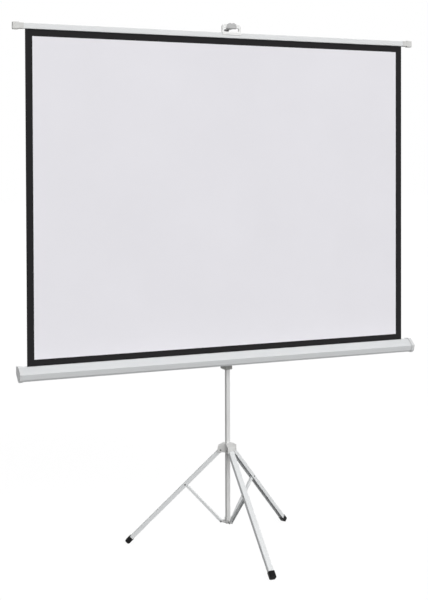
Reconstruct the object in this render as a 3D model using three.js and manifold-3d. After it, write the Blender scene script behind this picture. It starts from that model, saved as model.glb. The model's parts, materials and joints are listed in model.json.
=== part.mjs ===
// Tripod projection screen: a spring-roller case on a folding tripod, with a telescoping mast that
// holds the pulled-out screen by the handle of its top slat.
// Millimetres, +Z up, the screen faces -Y, and the origin is the middle of the footprint on the floor.
import * as THREE from 'three';
import { mergeVertices } from 'three/addons/utils/BufferGeometryUtils.js';
import Module from 'manifold-3d';

const wasm = await Module();
wasm.setup();

// Clearances
const FIT = 0.3;
const SLIDE_FIT = 0.5;
const STOP_GAP = 4;

// How far a cutting shape runs past the face that it cuts, or a joined one into its neighbour
const PAST = 1;

// Projection fabric
const VIEW_W = 2000;
const VIEW_H = 1528;
const BORDER_SIDE = 35;
const BORDER_TOP = 33;
const BORDER_BOTTOM = 28;
const FABRIC_T = 0.5;
const FABRIC_W = VIEW_W + 2 * BORDER_SIDE;
const FABRIC_H = VIEW_H + BORDER_TOP + BORDER_BOTTOM;

// Mast tubes, square, each sliding in the one below
const TUBE_W = 21;
const TUBE_WALL = 1.2;
const TUBE_CORNER = 2.5;
const MID_W = TUBE_W - 2 * TUBE_WALL - 2 * SLIDE_FIT;
const TOP_W = MID_W - 2 * TUBE_WALL - 2 * SLIDE_FIT;
const OVERLAP = 64;
const PARKED_GAP = 209;
const STAGE_TRAVEL = (FABRIC_H - PARKED_GAP) / 2;
const HEIGHT_TRAVEL = 130;
const COLLAR_WALL = 6.5;
const COLLAR_W = TUBE_W + 2 * COLLAR_WALL;
const COLLAR_H = 40;
const COLLAR_LIP = 6;
const GUIDE_FLANGE = 8;
const GUIDE_STEM = 20;
const GUIDE_ROUND = 1;

// Tripod: leg and strut make an isosceles pair, so the hub rises straight up the mast
const PIVOT_R = 35;
const HUB_PIVOT_Z = 502;
const FOOT_PIVOT_Z = 130;
const LEG_ANGLE = THREE.MathUtils.degToRad(44.8);
const LEG_W = 28;
const LEG_D = 21;
const LEG_WALL = 1.5;
const LEG_BEND = 4;
const LEG_GROOVE_W = 7;
const LEG_GROOVE_DEPTH = 0.9;
const STRUT_W = 15;
const STRUT_D = 13;
const STRUT_WALL = 1.2;
const STRUT_BEND = 2.5;
const STRUT_EAR_ROOM = 8;
const PIN_R = 3;
const PIN_SIDES = 10;
const RIVET_HEAD_R = 4.6;
const RIVET_HEAD_H = 1.4;
const RIVET_FLAT = 0.6;
const RIVET_RIM = 0.4;
const LEG_AZIMUTHS = { front: -90, right: 30, left: 150 };

// Rubber foot caps, cut flat where they stand on the floor
const FOOT_SIDE = 2.75;
const FOOT_FACE = 3.5;
const FOOT_W = LEG_W + 2 * FOOT_SIDE;
const FOOT_D = LEG_D + 2 * FOOT_FACE;
const FOOT_CORNER = 8;
const FOOT_END_ROUND = 11;
const FOOT_SLEEVE = 26;
const FOOT_END = 12;

// Hub
const HUB_H = 45;
const HUB_BELOW_PIVOT = 12;
const HUB_CORE_WALL = 11.5;
const HUB_CORE_R = TUBE_W / 2 + HUB_CORE_WALL;
const HUB_CHEEK = 5;
const HUB_NOSE = 17;
const HUB_LEAN = 3;
const HUB_ROUND = 3.5;
const HUB_SHOULDER_DROP = 14;
const HUB_BACK_GAP = 2;

// Foot bracket
const BRACKET_FLOOR = 5;
const BRACKET_BELOW_PIVOT = 9;
const BRACKET_H = 30;
const BRACKET_WALL = 3;
const BRACKET_W = TUBE_W + 2 * BRACKET_WALL;
const EAR_TIP_R = 4.6;
const EAR_ROOT_H = 17;

// Case: depth is counted forwards from its back wall, height from its underside
const CASE_TOP_Z = 1017;
const CASE_H = 66;
const CASE_WALL = 1.8;
const CASE_DEPTH = 76;
const CASE_TOP_DEPTH = 38;
const CASE_APEX_H = 36;
const CASE_BOTTOM_FRONT = 66;
const CASE_BOTTOM_BACK = 40;
const CASE_CHIN_H = 10;
const CASE_BACK_H = 29;
const CASE_TOP_FALL = 2;
const CASE_CORNER = 2.5;
const CASE_SIDE_ROOM = 35;
const CASE_HALF = FABRIC_W / 2 + CASE_SIDE_ROOM;
const CASE_SLOT = 9;
const CAP_END = 13;
const CAP_HALF = CASE_HALF + CAP_END;
const CAP_PROUD = 3;
const CAP_ROUND = 3.5;
const CAP_SLEEVE = 4;
const CAP_TONGUE = 9;
const CAP_TONGUE_WALL = 2.2;

// Roller in the case
const ROLLER_R = 16;
const ROLLER_WALL = 1.2;
const WOUND_T = 1.2;
const WOUND_R = ROLLER_R + FIT + WOUND_T;
const ROLLER_H = 34;
const ROLLER_END_GAP = 14;
const ROLLER_BACK_ROOM = 2;
const PLUG_LEN = 24;
const PLUG_FLANGE = 3;
const JOURNAL_R = 4;
const JOURNAL_IN_CAP = 8;
const ARBOR_R = 8.5;
const ARBOR_LEN = 120;
const ARBOR_GAP = 1;
const SPRING_R = 10;
const SPRING_WIRE_R = 0.8;
const SPRING_PITCH = 5;
const SPRING_CURLS = 14;
const SPRING_STEPS = 8;
const SPRING_SIDES = 5;

// Where the case hangs: the fabric runs in front of the mast, and the mast stands a little to the right
const FABRIC_AHEAD = 60;
const MAST_X = 25;

// Carriage on the mast, with the swivel bracket on the back of the case
const CARRIAGE_SIDE = 12;
const CARRIAGE_FRONT = 6;
const CARRIAGE_BACK = 32;
const CARRIAGE_W = TUBE_W + 2 * CARRIAGE_SIDE;
const CARRIAGE_D = TUBE_W + CARRIAGE_FRONT + CARRIAGE_BACK;
const CARRIAGE_CORNER = 7;
const CARRIAGE_TOP_DROP = 3;
const CARRIAGE_H = 98;
const SWIVEL_DROP = 17;
const LOCK_DROP = 58;
const HAT_W = 130;
const HAT_H = 34;
const HAT_TOP_W = 64;
const HAT_RISE = 8;
const HAT_T = 3;
const HAT_RIVET_RISE = 9;
const BOSS_R = 16;
const BOLT_R = 4;
const BOLT_HEAD_R = 8;
const BOLT_HEAD_H = 4;
const BOLT_IN_BOSS = 8;

// Lock knobs, turned about an axis that runs back from the mast
const KNOB_R = 15;
const KNOB_LOBE = 1.6;
const KNOB_LOBES = 6;
const KNOB_LOBE_STEPS = 6;
const KNOB_T = 13;
const KNOB_STEM_R = 4.5;
const KNOB_STEM = 10;
const KNOB_SEAT = 4;

// Top slat
const SLAT_H = 27;
const SLAT_D = 15;
const SLAT_WALL = 1.5;
const SLAT_CORNER = 3;
const SLAT_CLEAR = 1;
const SLAT_SIDE_ROOM = 27;
const SLAT_HALF = FABRIC_W / 2 + SLAT_SIDE_ROOM;
const SLAT_SLOT = 2;
const SLAT_CAP_END = 33;
const SLAT_CAP_HALF = SLAT_HALF + SLAT_CAP_END;
const SLAT_CAP_HEAD = 30;
const SLAT_CAP_H = 36;
const SLAT_CAP_D = 21;
const SLAT_CAP_ROUND = 4;
const SLAT_CAP_SLEEVE = 20;
const SLAT_CAP_SKIN = 1.6;
const HEM_IN_SLAT = 9;
const HEM_ROD_R = 2.6;

// Pull handle on the slat and the hook of the mast
const HANDLE_W = 102;
const HANDLE_SHOULDER = 39;
const HANDLE_PEAK = 48;
const HANDLE_ROUND = 9;
const HANDLE_GAP = 25;
const HANDLE_GAP_ROUND = 6;
const HANDLE_SIDE = 10;
const HANDLE_D = 11;
const HANDLE_FOOT = 4;
const SADDLE_T = 2.5;
const SADDLE_DROP = 12;
const SADDLE_ROUND = 3;
const HOOK_W = 52;
const HOOK_T = 4.5;
const HOOK_LIP_UP = 25;
const HOOK_DOME = 18;
const HOOK_NOTCH_R = 7;
const HOOK_NOTCH_DEPTH = 3;
const HOOK_ARM_W = 26;
const HOOK_ROUND = 5;
const HOOK_SOCKET_WALL = 3.9;
const HOOK_SOCKET_W = TOP_W + 2 * HOOK_SOCKET_WALL;
const HOOK_SOCKET_H = 34;
const HOOK_SOCKET_ROOF = 4;

// Heights and depths that follow
const CASE_BOTTOM_Z = CASE_TOP_Z - CASE_H;
const FABRIC_Y = -FABRIC_AHEAD;
const ROLLER_Y = FABRIC_Y - FABRIC_T / 2 - FIT - WOUND_R;
const ROLLER_Z = CASE_BOTTOM_Z + ROLLER_H;
const CASE_BACK_Y = ROLLER_Y + CASE_TOP_DEPTH - ROLLER_BACK_ROOM;
const SLAT_BOTTOM_Z = CASE_TOP_Z + FABRIC_H + SLAT_CLEAR;
const SLAT_TOP_Z = SLAT_BOTTOM_Z + SLAT_H;
const BAR_BOTTOM_Z = SLAT_TOP_Z + HANDLE_GAP;
const HOOK_ARM_TOP_Z = BAR_BOTTOM_Z - FIT;
const TUBE_BOTTOM_Z = FOOT_PIVOT_Z - BRACKET_BELOW_PIVOT + BRACKET_FLOOR + FIT;
const CARRIAGE_TOP_Z = CASE_TOP_Z - CARRIAGE_TOP_DROP;
const CARRIAGE_BOTTOM_Z = CARRIAGE_TOP_Z - CARRIAGE_H;
const CARRIAGE_FRONT_Y = -TUBE_W / 2 - CARRIAGE_FRONT;
const CARRIAGE_BACK_Y = TUBE_W / 2 + CARRIAGE_BACK;
const SWIVEL_Z = CARRIAGE_TOP_Z - SWIVEL_DROP;
const LOCK_Z = CARRIAGE_TOP_Z - LOCK_DROP;
const OUTER_COLLAR_Z = CARRIAGE_TOP_Z + STOP_GAP;
const OUTER_TOP_Z = OUTER_COLLAR_Z + COLLAR_H - COLLAR_LIP - FIT;
const MID_BOTTOM_Z = OUTER_TOP_Z - OVERLAP;
const MID_COLLAR_Z = OUTER_COLLAR_Z + COLLAR_H + STAGE_TRAVEL + HEIGHT_TRAVEL + STOP_GAP;
const MID_TOP_Z = MID_COLLAR_Z + COLLAR_H - COLLAR_LIP - FIT;
const TOP_BOTTOM_Z = MID_TOP_Z - OVERLAP;
const HOOK_SOCKET_Z = HOOK_ARM_TOP_Z - HOOK_SOCKET_H;
const TOP_TOP_Z = HOOK_ARM_TOP_Z - HOOK_SOCKET_ROOF - FIT;
const STRUT_LEN = (HUB_PIVOT_Z - FOOT_PIVOT_Z) / 2 / Math.cos(LEG_ANGLE);

// Finishes
function finish(color, roughness, metalness) {
  return new THREE.MeshStandardMaterial({ color, roughness, metalness });
}
const PAINTED_STEEL = finish(0xcfd1d3, 0.45, 0.3);
const WHITE_CASE = finish(0xe2e4e4, 0.5, 0.0);
const PALE_PLASTIC = finish(0xd8d9d8, 0.5, 0.0);
const GREY_PLASTIC = finish(0x9c9d9e, 0.55, 0.0);
const BARE_STEEL = finish(0x9a9b9d, 0.35, 0.9);
const DARK_STEEL = finish(0x4a4a4c, 0.5, 0.6);
const BLACK_RUBBER = finish(0x202022, 0.8, 0.0);
const BLACK_PLASTIC = finish(0x2a2a2c, 0.55, 0.0);
const SCREEN_CLOTH = finish(0xe9e8ec, 0.9, 0.0);

/** Turns a closed geometry into a solid, facing out. */
function solid(geometry) {
  const bare = geometry.index ? geometry.toNonIndexed() : geometry.clone();
  bare.deleteAttribute('normal');
  bare.deleteAttribute('uv');
  const merged = mergeVertices(bare, 1e-4);
  const vertProperties = new Float32Array(merged.attributes.position.array);
  const triVerts = new Uint32Array(merged.index.array);
  const made = new wasm.Manifold(new wasm.Mesh({ numProp: 3, vertProperties, triVerts }));
  if (made.volume() > 0) return made;
  for (let i = 0; i < triVerts.length; i += 3) {
    [triVerts[i], triVerts[i + 1]] = [triVerts[i + 1], triVerts[i]];
  }
  return new wasm.Manifold(new wasm.Mesh({ numProp: 3, vertProperties, triVerts }));
}

/** Gives a solid back as a flat-shaded geometry. */
function geometryOf(manifold) {
  const mesh = manifold.getMesh();
  const geometry = new THREE.BufferGeometry();
  geometry.setAttribute('position', new THREE.BufferAttribute(new Float32Array(mesh.vertProperties), 3));
  geometry.setIndex(new THREE.BufferAttribute(new Uint32Array(mesh.triVerts), 1));
  const flat = geometry.toNonIndexed();
  flat.computeVertexNormals();
  return flat;
}

/** Adds a named piece to a group. */
function piece(group, name, shape, material) {
  const mesh = new THREE.Mesh(geometryOf(shape), material);
  mesh.name = name;
  group.add(mesh);
  return mesh;
}

/** A rectangle with rounded corners, centred, or with a given low corner. */
function roundedRect(width, height, radius, x = -width / 2, y = -height / 2) {
  const shape = new THREE.Shape();
  shape.moveTo(x + radius, y);
  shape.lineTo(x + width - radius, y);
  shape.absarc(x + width - radius, y + radius, radius, -Math.PI / 2, 0);
  shape.lineTo(x + width, y + height - radius);
  shape.absarc(x + width - radius, y + height - radius, radius, 0, Math.PI / 2);
  shape.lineTo(x + radius, y + height);
  shape.absarc(x + radius, y + height - radius, radius, Math.PI / 2, Math.PI);
  shape.lineTo(x, y + radius);
  shape.absarc(x + radius, y + radius, radius, Math.PI, 1.5 * Math.PI);
  return shape;
}

/** A convex outline, given counter-clockwise, moved out by a distance and with its corners rounded. */
function roundedOutline(points, offset, radius) {
  const count = points.length;
  const edges = points.map((from, i) => {
    const direction = points[(i + 1) % count].clone().sub(from).normalize();
    const outward = new THREE.Vector2(direction.y, -direction.x);
    return { start: from.clone().addScaledVector(outward, offset), direction };
  });
  const corners = edges.map((edge, i) => {
    const before = edges[(i + count - 1) % count];
    const turn = before.direction.cross(edge.direction);
    const along = edge.start.clone().sub(before.start).cross(edge.direction) / turn;
    return before.start.clone().addScaledVector(before.direction, along);
  });
  const shape = new THREE.Shape();
  corners.forEach((corner, i) => {
    const from = edges[(i + count - 1) % count].direction;
    const to = edges[i].direction;
    const reach = radius * Math.tan(from.angleTo(to) / 2);
    const enter = corner.clone().addScaledVector(from, -reach);
    const leave = corner.clone().addScaledVector(to, reach);
    if (i === 0) shape.moveTo(enter.x, enter.y);
    else shape.lineTo(enter.x, enter.y);
    shape.quadraticCurveTo(corner.x, corner.y, leave.x, leave.y);
  });
  shape.closePath();
  return shape;
}

const ALONG_X = new THREE.Matrix4().makeBasis(
  new THREE.Vector3(0, 1, 0), new THREE.Vector3(0, 0, 1), new THREE.Vector3(1, 0, 0));
const ALONG_Y = new THREE.Matrix4().makeBasis(
  new THREE.Vector3(-1, 0, 0), new THREE.Vector3(0, 0, 1), new THREE.Vector3(0, 1, 0));

/** A plain extrusion of an outline along +Z between two heights. */
function extruded(shape, from, to, curveSegments) {
  const depth = to - from;
  const geometry = new THREE.ExtrudeGeometry(shape, { depth, bevelEnabled: false, curveSegments });
  return geometry.translate(0, 0, from);
}

/** Extrudes an outline upwards between two heights. */
function extrudeZ(shape, from, to, curveSegments = 5) {
  return solid(extruded(shape, from, to, curveSegments));
}

/** Extrudes an outline drawn in (y, z) along X. */
function extrudeX(shape, from, to, curveSegments = 5) {
  return solid(extruded(shape, from, to, curveSegments).applyMatrix4(ALONG_X));
}

/** Extrudes an outline drawn in (-x, z) along Y. */
function extrudeY(shape, from, to, curveSegments = 5) {
  return solid(extruded(shape, from, to, curveSegments).applyMatrix4(ALONG_Y));
}

/** A box between two corners. */
function block(x0, x1, y0, y1, z0, z1) {
  const geometry = new THREE.BoxGeometry(x1 - x0, y1 - y0, z1 - z0);
  return solid(geometry.translate((x0 + x1) / 2, (y0 + y1) / 2, (z0 + z1) / 2));
}

/** A turned solid on the Y axis, from (radius, y) pairs that start and end on the axis. */
function turned(profile, segments = 20) {
  return solid(new THREE.LatheGeometry(profile.map(([r, y]) => new THREE.Vector2(r, y)), segments));
}

/** A round bar between two places on an axis named x, y or z. */
function bar(axis, radius, from, to, segments = 20) {
  const cylinder = turned([[0, from], [radius, from], [radius, to], [0, to]], segments);
  if (axis === 'x') return cylinder.rotate([0, 0, -90]);
  if (axis === 'z') return cylinder.rotate([90, 0, 0]);
  return cylinder;
}

/** A rivet across Y with a domed head at each end, gripping a given width. */
function rivet(grip) {
  const half = grip / 2 + FIT;
  const top = half + RIVET_HEAD_H;
  const rim = half + RIVET_HEAD_H * RIVET_RIM;
  const flat = RIVET_HEAD_R * RIVET_FLAT;
  return turned([
    [0, -top], [flat, -top], [RIVET_HEAD_R, -rim], [RIVET_HEAD_R, -half], [PIN_R, -half],
    [PIN_R, half], [RIVET_HEAD_R, half], [RIVET_HEAD_R, rim], [flat, top], [0, top],
  ], PIN_SIDES);
}

/** A square tube between two heights. */
function squareTube(width, from, to) {
  const inner = width - 2 * TUBE_WALL;
  const outer = extrudeZ(roundedRect(width, width, TUBE_CORNER), from, to);
  const hollow = roundedRect(inner, inner, TUBE_CORNER - TUBE_WALL);
  return outer.subtract(extrudeZ(hollow, from - PAST, to + PAST, 2));
}

/** The bore that a square tube slides or sits in. */
function squareBore(width, clearance, from, to) {
  const bore = width + 2 * clearance;
  return extrudeZ(roundedRect(bore, bore, TUBE_CORNER), from, to, 2);
}

/** Places a solid that was made in one frame into another. */
function placed(manifold, matrix) {
  return manifold.transform(matrix.elements);
}

/**
 * A folded channel along +X whose web is on +Z and whose open side is on -Z.
 * The ends that carry a pin are rounded about it, and the web can have a stiffening groove.
 */
function channel({ width, depth, wall, bend, from, to, roundFrom, roundTo, groove }) {
  const half = depth / 2;
  const outer = new THREE.Shape();
  outer.moveTo(-width / 2, -half);
  outer.lineTo(width / 2, -half);
  outer.lineTo(width / 2, half - bend);
  outer.absarc(width / 2 - bend, half - bend, bend, 0, Math.PI / 2);
  if (groove) {
    outer.lineTo(LEG_GROOVE_W / 2, half);
    outer.quadraticCurveTo(0, half - 2 * LEG_GROOVE_DEPTH, -LEG_GROOVE_W / 2, half);
  }
  outer.lineTo(-width / 2 + bend, half);
  outer.absarc(-width / 2 + bend, half - bend, bend, Math.PI / 2, Math.PI);
  const innerW = width - 2 * wall;
  const innerBend = bend - wall;
  const inner = new THREE.Shape();
  const webInside = half - wall - (groove ? LEG_GROOVE_DEPTH : 0);
  inner.moveTo(-innerW / 2, -half - PAST);
  inner.lineTo(innerW / 2, -half - PAST);
  inner.lineTo(innerW / 2, webInside - innerBend);
  inner.absarc(innerW / 2 - innerBend, webInside - innerBend, innerBend, 0, Math.PI / 2);
  inner.lineTo(-innerW / 2 + innerBend, webInside);
  inner.absarc(-innerW / 2 + innerBend, webInside - innerBend, innerBend, Math.PI / 2, Math.PI);
  const start = roundFrom ? from - half : from;
  const end = roundTo ? to + half : to;
  let made = extrudeX(outer, start, end, 3).subtract(extrudeX(inner, start - PAST, end + PAST, 2));
  const side = roundedSide(-end, -start, half, roundTo, roundFrom);
  made = made.intersect(extrudeY(side, -width, width, 6));
  const pinHole = bar('y', PIN_R + FIT, -width, width, PIN_SIDES);
  if (roundFrom) made = made.subtract(pinHole.translate([from, 0, 0]));
  if (roundTo) made = made.subtract(pinHole.translate([to, 0, 0]));
  return made;
}

/** The side outline of a bar of a given half depth, round or square at each end. */
function roundedSide(low, high, half, roundLow, roundHigh) {
  const shape = new THREE.Shape();
  const a = roundLow ? low + half : low;
  const b = roundHigh ? high - half : high;
  shape.moveTo(a, -half);
  shape.lineTo(b, -half);
  if (roundHigh) shape.absarc(b, 0, half, -Math.PI / 2, Math.PI / 2);
  else shape.lineTo(b, half);
  shape.lineTo(a, half);
  if (roundLow) shape.absarc(a, 0, half, Math.PI / 2, 1.5 * Math.PI);
  return shape;
}

// Tripod frames: radial +X, up +Z, one per leg, and the slanted frames of its channels
const sin = Math.sin(LEG_ANGLE);
const cos = Math.cos(LEG_ANGLE);
const LEG_FRAME = new THREE.Matrix4().makeBasis(
  new THREE.Vector3(sin, 0, -cos), new THREE.Vector3(0, 1, 0), new THREE.Vector3(cos, 0, sin));
LEG_FRAME.setPosition(PIVOT_R, 0, HUB_PIVOT_Z);
const STRUT_FRAME = new THREE.Matrix4().makeBasis(
  new THREE.Vector3(sin, 0, cos), new THREE.Vector3(0, 1, 0), new THREE.Vector3(-cos, 0, sin));
STRUT_FRAME.setPosition(PIVOT_R, 0, FOOT_PIVOT_Z);

// The leg ends where the rounded end of its foot cap just dips below the floor, to be cut flat
const FOOT_FLAT_DEPTH = 2;
const FOOT_CENTRE_DROP = FOOT_END_ROUND - FOOT_FLAT_DEPTH;
const FOOT_LOW_CORNER = (FOOT_D / 2 - FOOT_END_ROUND) * sin;
const LEG_LEN = (HUB_PIVOT_Z - FOOT_CENTRE_DROP - FOOT_LOW_CORNER) / cos - FOOT_END + FOOT_END_ROUND;

/** One channel leg with the holes for its hub pin and its strut pin. */
function makeLeg() {
  const leg = channel({
    width: LEG_W, depth: LEG_D, wall: LEG_WALL, bend: LEG_BEND,
    from: 0, to: LEG_LEN, roundFrom: true, roundTo: false, groove: true,
  });
  const strutHole = bar('y', PIN_R + FIT, -LEG_W, LEG_W, PIN_SIDES).translate([STRUT_LEN, 0, 0]);
  return placed(leg.subtract(strutHole), LEG_FRAME);
}

/** One channel strut from the foot bracket to its leg, its web cut back for the bracket's ear. */
function makeStrut() {
  const strut = channel({
    width: STRUT_W, depth: STRUT_D, wall: STRUT_WALL, bend: STRUT_BEND,
    from: 0, to: STRUT_LEN, roundFrom: true, roundTo: true, groove: false,
  });
  const slotHalf = STRUT_W / 2 - STRUT_WALL;
  const earSlot = block(-STRUT_D, STRUT_EAR_ROOM, -slotHalf, slotHalf, 0, STRUT_D);
  return placed(strut.subtract(earSlot), STRUT_FRAME);
}

/** One rubber cap on the end of a leg, cut flat at the floor. */
function makeFoot() {
  const from = LEG_LEN - FOOT_SLEEVE;
  const to = LEG_LEN + FOOT_END;
  const body = extrudeX(roundedRect(FOOT_W, FOOT_D, FOOT_CORNER), from, to);
  const long = to - from + FOOT_END_ROUND;
  const sideView = roundedRect(long, FOOT_D, FOOT_END_ROUND, -to, -FOOT_D / 2);
  const topView = roundedRect(long, FOOT_W, FOOT_END_ROUND, from - FOOT_END_ROUND, -FOOT_W / 2);
  const rounded = body
    .intersect(extrudeY(sideView, -FOOT_W, FOOT_W))
    .intersect(extrudeZ(topView, -FOOT_D, FOOT_D));
  const socket = roundedRect(LEG_W + 2 * FIT, LEG_D + 2 * FIT, FIT);
  const cap = placed(rounded.subtract(extrudeX(socket, from - PAST, LEG_LEN + FIT)), LEG_FRAME);
  const reach = 2 * PIVOT_R + LEG_LEN;
  return cap.subtract(block(-reach, reach, -reach, reach, -reach, 0));
}

/** The hub: a sleeve on the mast with a pocket for each leg, whose slanted roof stops the open leg. */
function makeHub() {
  const bottom = HUB_PIVOT_Z - HUB_BELOW_PIVOT;
  const top = bottom + HUB_H;
  const pocketW = LEG_W + 2 * SLIDE_FIT;
  const lobeW = pocketW + 2 * HUB_CHEEK;
  const nose = PIVOT_R + HUB_NOSE;
  const shoulder = top - HUB_SHOULDER_DROP;
  const lobe = roundedOutline([
    new THREE.Vector2(-nose, bottom), new THREE.Vector2(0, bottom), new THREE.Vector2(0, top),
    new THREE.Vector2(-HUB_CORE_R, top), new THREE.Vector2(-nose + HUB_LEAN, shoulder),
  ], 0, HUB_ROUND);
  const room = LEG_D / 2 + 2 * SLIDE_FIT;
  const roof = HUB_PIVOT_Z + room;
  const back = PIVOT_R - room - HUB_BACK_GAP;
  const roofEnd = PIVOT_R + room * Math.tan((Math.PI / 2 - LEG_ANGLE) / 2);
  const low = bottom - PAST;
  const pocketSide = new THREE.Shape();
  pocketSide.moveTo(-back, low);
  pocketSide.lineTo(-back, roof);
  pocketSide.lineTo(-roofEnd, roof);
  pocketSide.lineTo(-roofEnd - (roof - low) * Math.tan(LEG_ANGLE), low);
  const pocket = extrudeY(pocketSide, -pocketW / 2, pocketW / 2);
  const pinHole = bar('y', PIN_R + FIT, -lobeW, lobeW, PIN_SIDES).translate([PIVOT_R, 0, HUB_PIVOT_Z]);
  let hub = bar('z', HUB_CORE_R, bottom, top, 24);
  for (const azimuth of Object.values(LEG_AZIMUTHS)) {
    hub = hub.add(extrudeY(lobe, -lobeW / 2, lobeW / 2, 4).rotate([0, 0, azimuth]));
  }
  for (const azimuth of Object.values(LEG_AZIMUTHS)) {
    hub = hub.subtract(pocket.add(pinHole).rotate([0, 0, azimuth]));
  }
  return hub.subtract(squareBore(TUBE_W, SLIDE_FIT, low, top + PAST));
}

/** The bracket that closes the mast's foot, with an ear inside each strut. */
function makeFootBracket() {
  const bottom = FOOT_PIVOT_Z - BRACKET_BELOW_PIVOT;
  const top = bottom + BRACKET_H;
  const earT = STRUT_W - 2 * STRUT_WALL - 2 * SLIDE_FIT;
  const side = new THREE.Shape();
  side.moveTo(0, FOOT_PIVOT_Z - EAR_ROOT_H / 2);
  side.lineTo(-BRACKET_W / 2, FOOT_PIVOT_Z - EAR_ROOT_H / 2);
  side.lineTo(-PIVOT_R, FOOT_PIVOT_Z - EAR_TIP_R);
  side.absarc(-PIVOT_R, FOOT_PIVOT_Z, EAR_TIP_R, -Math.PI / 2, -1.5 * Math.PI, true);
  side.lineTo(-BRACKET_W / 2, FOOT_PIVOT_Z + EAR_ROOT_H / 2);
  side.lineTo(0, FOOT_PIVOT_Z + EAR_ROOT_H / 2);
  const pinHole = bar('y', PIN_R + FIT, -STRUT_W, STRUT_W, PIN_SIDES).translate([PIVOT_R, 0, FOOT_PIVOT_Z]);
  let bracket = extrudeZ(roundedRect(BRACKET_W, BRACKET_W, TUBE_CORNER + FIT), bottom, top, 3);
  for (const azimuth of Object.values(LEG_AZIMUTHS)) {
    const ear = extrudeY(side, -earT / 2, earT / 2, 6).subtract(pinHole);
    bracket = bracket.add(ear.rotate([0, 0, azimuth]));
  }
  return bracket.subtract(squareBore(TUBE_W, FIT, bottom + BRACKET_FLOOR, top + PAST));
}

/** A collar on the head of a tube, with a smaller bore for the next tube and a seat for its knob. */
function makeCollar(width, innerWidth, from) {
  const to = from + COLLAR_H;
  const outer = extrudeZ(roundedRect(COLLAR_W, COLLAR_W, CARRIAGE_CORNER), from, to, 3);
  const seat = bar('y', KNOB_STEM_R + FIT, COLLAR_W / 2 - KNOB_SEAT, COLLAR_W, 16);
  return outer
    .subtract(squareBore(width, FIT, from - PAST, to - COLLAR_LIP))
    .subtract(squareBore(innerWidth, SLIDE_FIT, from - PAST, to + PAST))
    .subtract(seat.translate([0, 0, from + COLLAR_H / 2]));
}

/** A lobed lock knob whose stem sits in a collar or the carriage, with its axis along +Y. */
function makeKnob(face, z) {
  const outline = new THREE.Shape();
  const steps = KNOB_LOBES * KNOB_LOBE_STEPS;
  for (let i = 0; i < steps; i += 1) {
    const angle = (2 * Math.PI * i) / steps;
    const radius = KNOB_R + KNOB_LOBE * Math.cos(KNOB_LOBES * angle);
    const x = radius * Math.cos(angle);
    const y = radius * Math.sin(angle);
    if (i === 0) outline.moveTo(x, y);
    else outline.lineTo(x, y);
  }
  const grip = extrudeY(outline, face + KNOB_STEM, face + KNOB_STEM + KNOB_T);
  const stem = bar('y', KNOB_STEM_R, face - KNOB_SEAT + FIT, face + KNOB_STEM + PAST, 16);
  return grip.add(stem).translate([0, 0, z]);
}

/** A guide plug in the lower end of a sliding tube. */
function makeGuide(width, outerWidth, bottom) {
  const flangeW = outerWidth - 2 * TUBE_WALL - 2 * FIT;
  const stemW = width - 2 * TUBE_WALL - 2 * FIT;
  const low = bottom - FIT - GUIDE_FLANGE;
  const flange = extrudeZ(roundedRect(flangeW, flangeW, TUBE_CORNER - TUBE_WALL), low, bottom - FIT, 2);
  const stemPlan = roundedRect(stemW, stemW, GUIDE_ROUND);
  const stem = extrudeZ(stemPlan, bottom - FIT - PAST, bottom + GUIDE_STEM, 1);
  const bore = bar('z', stemW / 3, low - PAST, bottom + GUIDE_STEM + PAST, 8);
  return flange.add(stem).subtract(bore);
}

/** The case's section, as (y, z) corners counter-clockwise seen from +X. */
function caseCorners() {
  const at = (depth, height) => new THREE.Vector2(CASE_BACK_Y - depth, CASE_BOTTOM_Z + height);
  return [
    at(0, CASE_BACK_H), at(0, CASE_H - CASE_TOP_FALL), at(CASE_TOP_DEPTH, CASE_H),
    at(CASE_DEPTH, CASE_APEX_H), at(CASE_BOTTOM_FRONT, CASE_CHIN_H),
    at(CASE_BOTTOM_FRONT - CASE_CHIN_H, 0), at(CASE_BOTTOM_BACK, 0),
  ];
}

/** The case: a drawn hollow section, with the slot that the fabric comes out of. */
function makeCase() {
  const outer = extrudeX(caseOutline(0, CASE_CORNER), -CASE_HALF, CASE_HALF, 3);
  const inside = caseOutline(-CASE_WALL, CASE_CORNER - CASE_WALL);
  const end = CASE_HALF + PAST;
  const hollow = extrudeX(inside, -end, end, 1);
  const low = FABRIC_Y - CASE_SLOT / 2;
  const slot = block(-end, end, low, low + CASE_SLOT, ROLLER_Z, CASE_TOP_Z + PAST);
  return outer.subtract(hollow).subtract(slot);
}

/** The outline of the case, grown by a distance. */
function caseOutline(grow, radius) {
  return roundedOutline(caseCorners(), grow, radius);
}

/** An end cap with a rim round the case, a tongue inside it and a socket for the journal or arbor. */
function makeCaseCap(side) {
  const rim = CASE_HALF - CAP_SLEEVE;
  const face = CASE_HALF + FIT;
  const tongueOut = -CASE_WALL - FIT;
  const tongueIn = tongueOut - CAP_TONGUE_WALL;
  const tongueFrom = CASE_HALF - CAP_TONGUE;
  const body = extrudeX(caseOutline(CAP_PROUD, CAP_ROUND), rim, CAP_HALF, 3);
  const pocket = extrudeX(caseOutline(FIT, CASE_CORNER), rim - PAST, face, 2);
  const tongue = extrudeX(caseOutline(tongueOut, CASE_CORNER - CASE_WALL), tongueFrom, face + PAST, 1)
    .subtract(extrudeX(caseOutline(tongueIn, FIT), tongueFrom - PAST, face, 1));
  const socket = bar('x', JOURNAL_R + FIT, face - PAST, face + JOURNAL_IN_CAP, 12);
  const cap = body.subtract(pocket).add(tongue).subtract(atRoller(socket));
  return side < 0 ? cap.mirror([1, 0, 0]) : cap;
}

const ROLLER_HALF = CASE_HALF - ROLLER_END_GAP;
const atRoller = (made) => made.translate([0, ROLLER_Y, ROLLER_Z]);

/** A tube along X about the roller's axis. */
function rollerSleeve(outerR, innerR, half, segments = 24) {
  const outer = bar('x', outerR, -half, half, segments);
  return atRoller(outer.subtract(bar('x', innerR, -half - PAST, half + PAST, segments)));
}

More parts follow.
